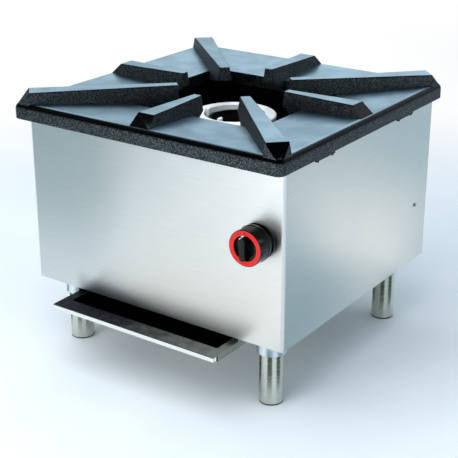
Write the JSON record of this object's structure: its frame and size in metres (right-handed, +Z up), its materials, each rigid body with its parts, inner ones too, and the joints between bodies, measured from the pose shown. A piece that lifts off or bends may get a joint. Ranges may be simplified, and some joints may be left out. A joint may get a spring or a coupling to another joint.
{
  "type": "stock pot range",
  "caption": "Low free-standing gas stock pot range: square ribbed cast top over a ring burner, steel cabinet, front control, drip tray and tubular legs.",
  "frame": {"origin": "on the floor under the centre of the cast top", "axes": "front with the control faces -Y, +X is the right-hand side, +Z up"},
  "size_m": [0.6, 0.672, 0.524],
  "materials": {
    "cast_iron": "seasoned casting, low sheen",
    "burner_iron": "matt",
    "ring_metal": "machined",
    "stainless": "fine brushed",
    "tray_steel": "brushed",
    "leg_steel": "satin",
    "collar_metal": "satin",
    "galvanised": "zinc coated",
    "shield_steel": "heat darkened",
    "brass": "machined",
    "pipe_metal": "drawn tube",
    "fastener": "plated",
    "knob_black": "semi gloss",
    "knob_red": "gloss",
    "foot_black": "matt"
  },
  "bodies": {
    "cabinet": {"back_panel": "galvanised", "base_screws": "fastener", "burner_beam_front": "galvanised", "burner_beam_rear": "galvanised", "burner_body": "burner_iron", "burner_bolts": "fastener", "burner_frame_screws": "fastener", "burner_pipe": "pipe_metal", "cabinet_wrap": "stainless", "clip_screw": "fastener", "corner_plate_front_left": "galvanised", "corner_plate_front_right": "galvanised", "corner_plate_rear_left": "galvanised", "corner_plate_rear_right": "galvanised", "gas_inlet": "brass", "heat_shield": "shield_steel", "injector": "brass", "injector_bracket": "galvanised", "injector_holder": "brass", "inlet_locknut": "fastener", "knob_bezel": "knob_black", "leg_bolts": "fastener", "leg_plugs": "fastener", "leg_socket_front_left": "collar_metal", "leg_socket_front_right": "collar_metal", "leg_socket_rear_left": "collar_metal", "leg_socket_rear_right": "collar_metal", "leg_tube_front_left": "leg_steel", "leg_tube_front_right": "leg_steel", "leg_tube_rear_left": "leg_steel", "leg_tube_rear_right": "leg_steel", "pilot_bracket": "galvanised", "pilot_burner": "brass", "pilot_tube": "pipe_metal", "pipe_clip": "galvanised", "pipe_nuts": "brass", "supply_pipe": "pipe_metal", "support_angle_left": "galvanised", "support_angle_right": "galvanised", "thermocouple": "pipe_metal", "top_rail_front": "galvanised", "top_rail_left": "galvanised", "top_rail_rear": "galvanised", "top_rail_right": "galvanised", "tray_runner_left": "galvanised", "tray_runner_right": "galvanised", "valve_body": "brass"},
    "cast_top": {"cast_top": "cast_iron"},
    "burner_ring": {"burner_ring": "ring_metal"},
    "drip_tray": {"drip_tray": "tray_steel"},
    "air_shutter": {"air_shutter": "galvanised"},
    "control_push": {"safety_push_rod": "fastener"},
    "control_knob": {"control_knob": "knob_black", "knob_ring": "knob_red", "valve_spindle": "brass"},
    "foot_front_left": {"leg_foot_front_left": "foot_black"},
    "foot_rear_left": {"leg_foot_rear_left": "foot_black"},
    "foot_front_right": {"leg_foot_front_right": "foot_black"},
    "foot_rear_right": {"leg_foot_rear_right": "foot_black"}
  },
  "joints": [
    {"name": "cast_top_lift", "type": "slide", "parent": "cabinet", "child": "cast_top", "axis": [0, 0, 1], "range_m": [0, 0.15]},
    {"name": "burner_ring_lift", "type": "slide", "parent": "cabinet", "child": "burner_ring", "axis": [0, 0, 1], "range_m": [0, 0.12]},
    {"name": "drip_tray_slide", "type": "slide", "parent": "cabinet", "child": "drip_tray", "axis": [0, -1, 0], "range_m": [-0.043, 0.35]},
    {"name": "control_push", "type": "slide", "parent": "cabinet", "child": "control_push", "axis": [0, 1, 0], "range_m": [0, 0.003], "stiffness_N_per_m": 1500, "springref_m": -0.003},
    {"name": "control_turn", "type": "hinge", "parent": "control_push", "child": "control_knob", "pos_m": [0.236, -0.268, 0.3375], "axis": [0, -1, 0], "range_deg": [0, 180]},
    {"name": "air_shutter_slide", "type": "slide", "parent": "cabinet", "child": "air_shutter", "axis": [0, 1, 0], "range_m": [0, 0.01]},
    {"name": "foot_screw_front_left", "type": "slide", "parent": "cabinet", "child": "foot_front_left", "axis": [0, 0, -1], "range_m": [0, 0.025]},
    {"name": "foot_screw_rear_left", "type": "slide", "parent": "cabinet", "child": "foot_rear_left", "axis": [0, 0, -1], "range_m": [0, 0.025]},
    {"name": "foot_screw_front_right", "type": "slide", "parent": "cabinet", "child": "foot_front_right", "axis": [0, 0, -1], "range_m": [0, 0.025]},
    {"name": "foot_screw_rear_right", "type": "slide", "parent": "cabinet", "child": "foot_rear_right", "axis": [0, 0, -1], "range_m": [0, 0.025]}
  ]
}
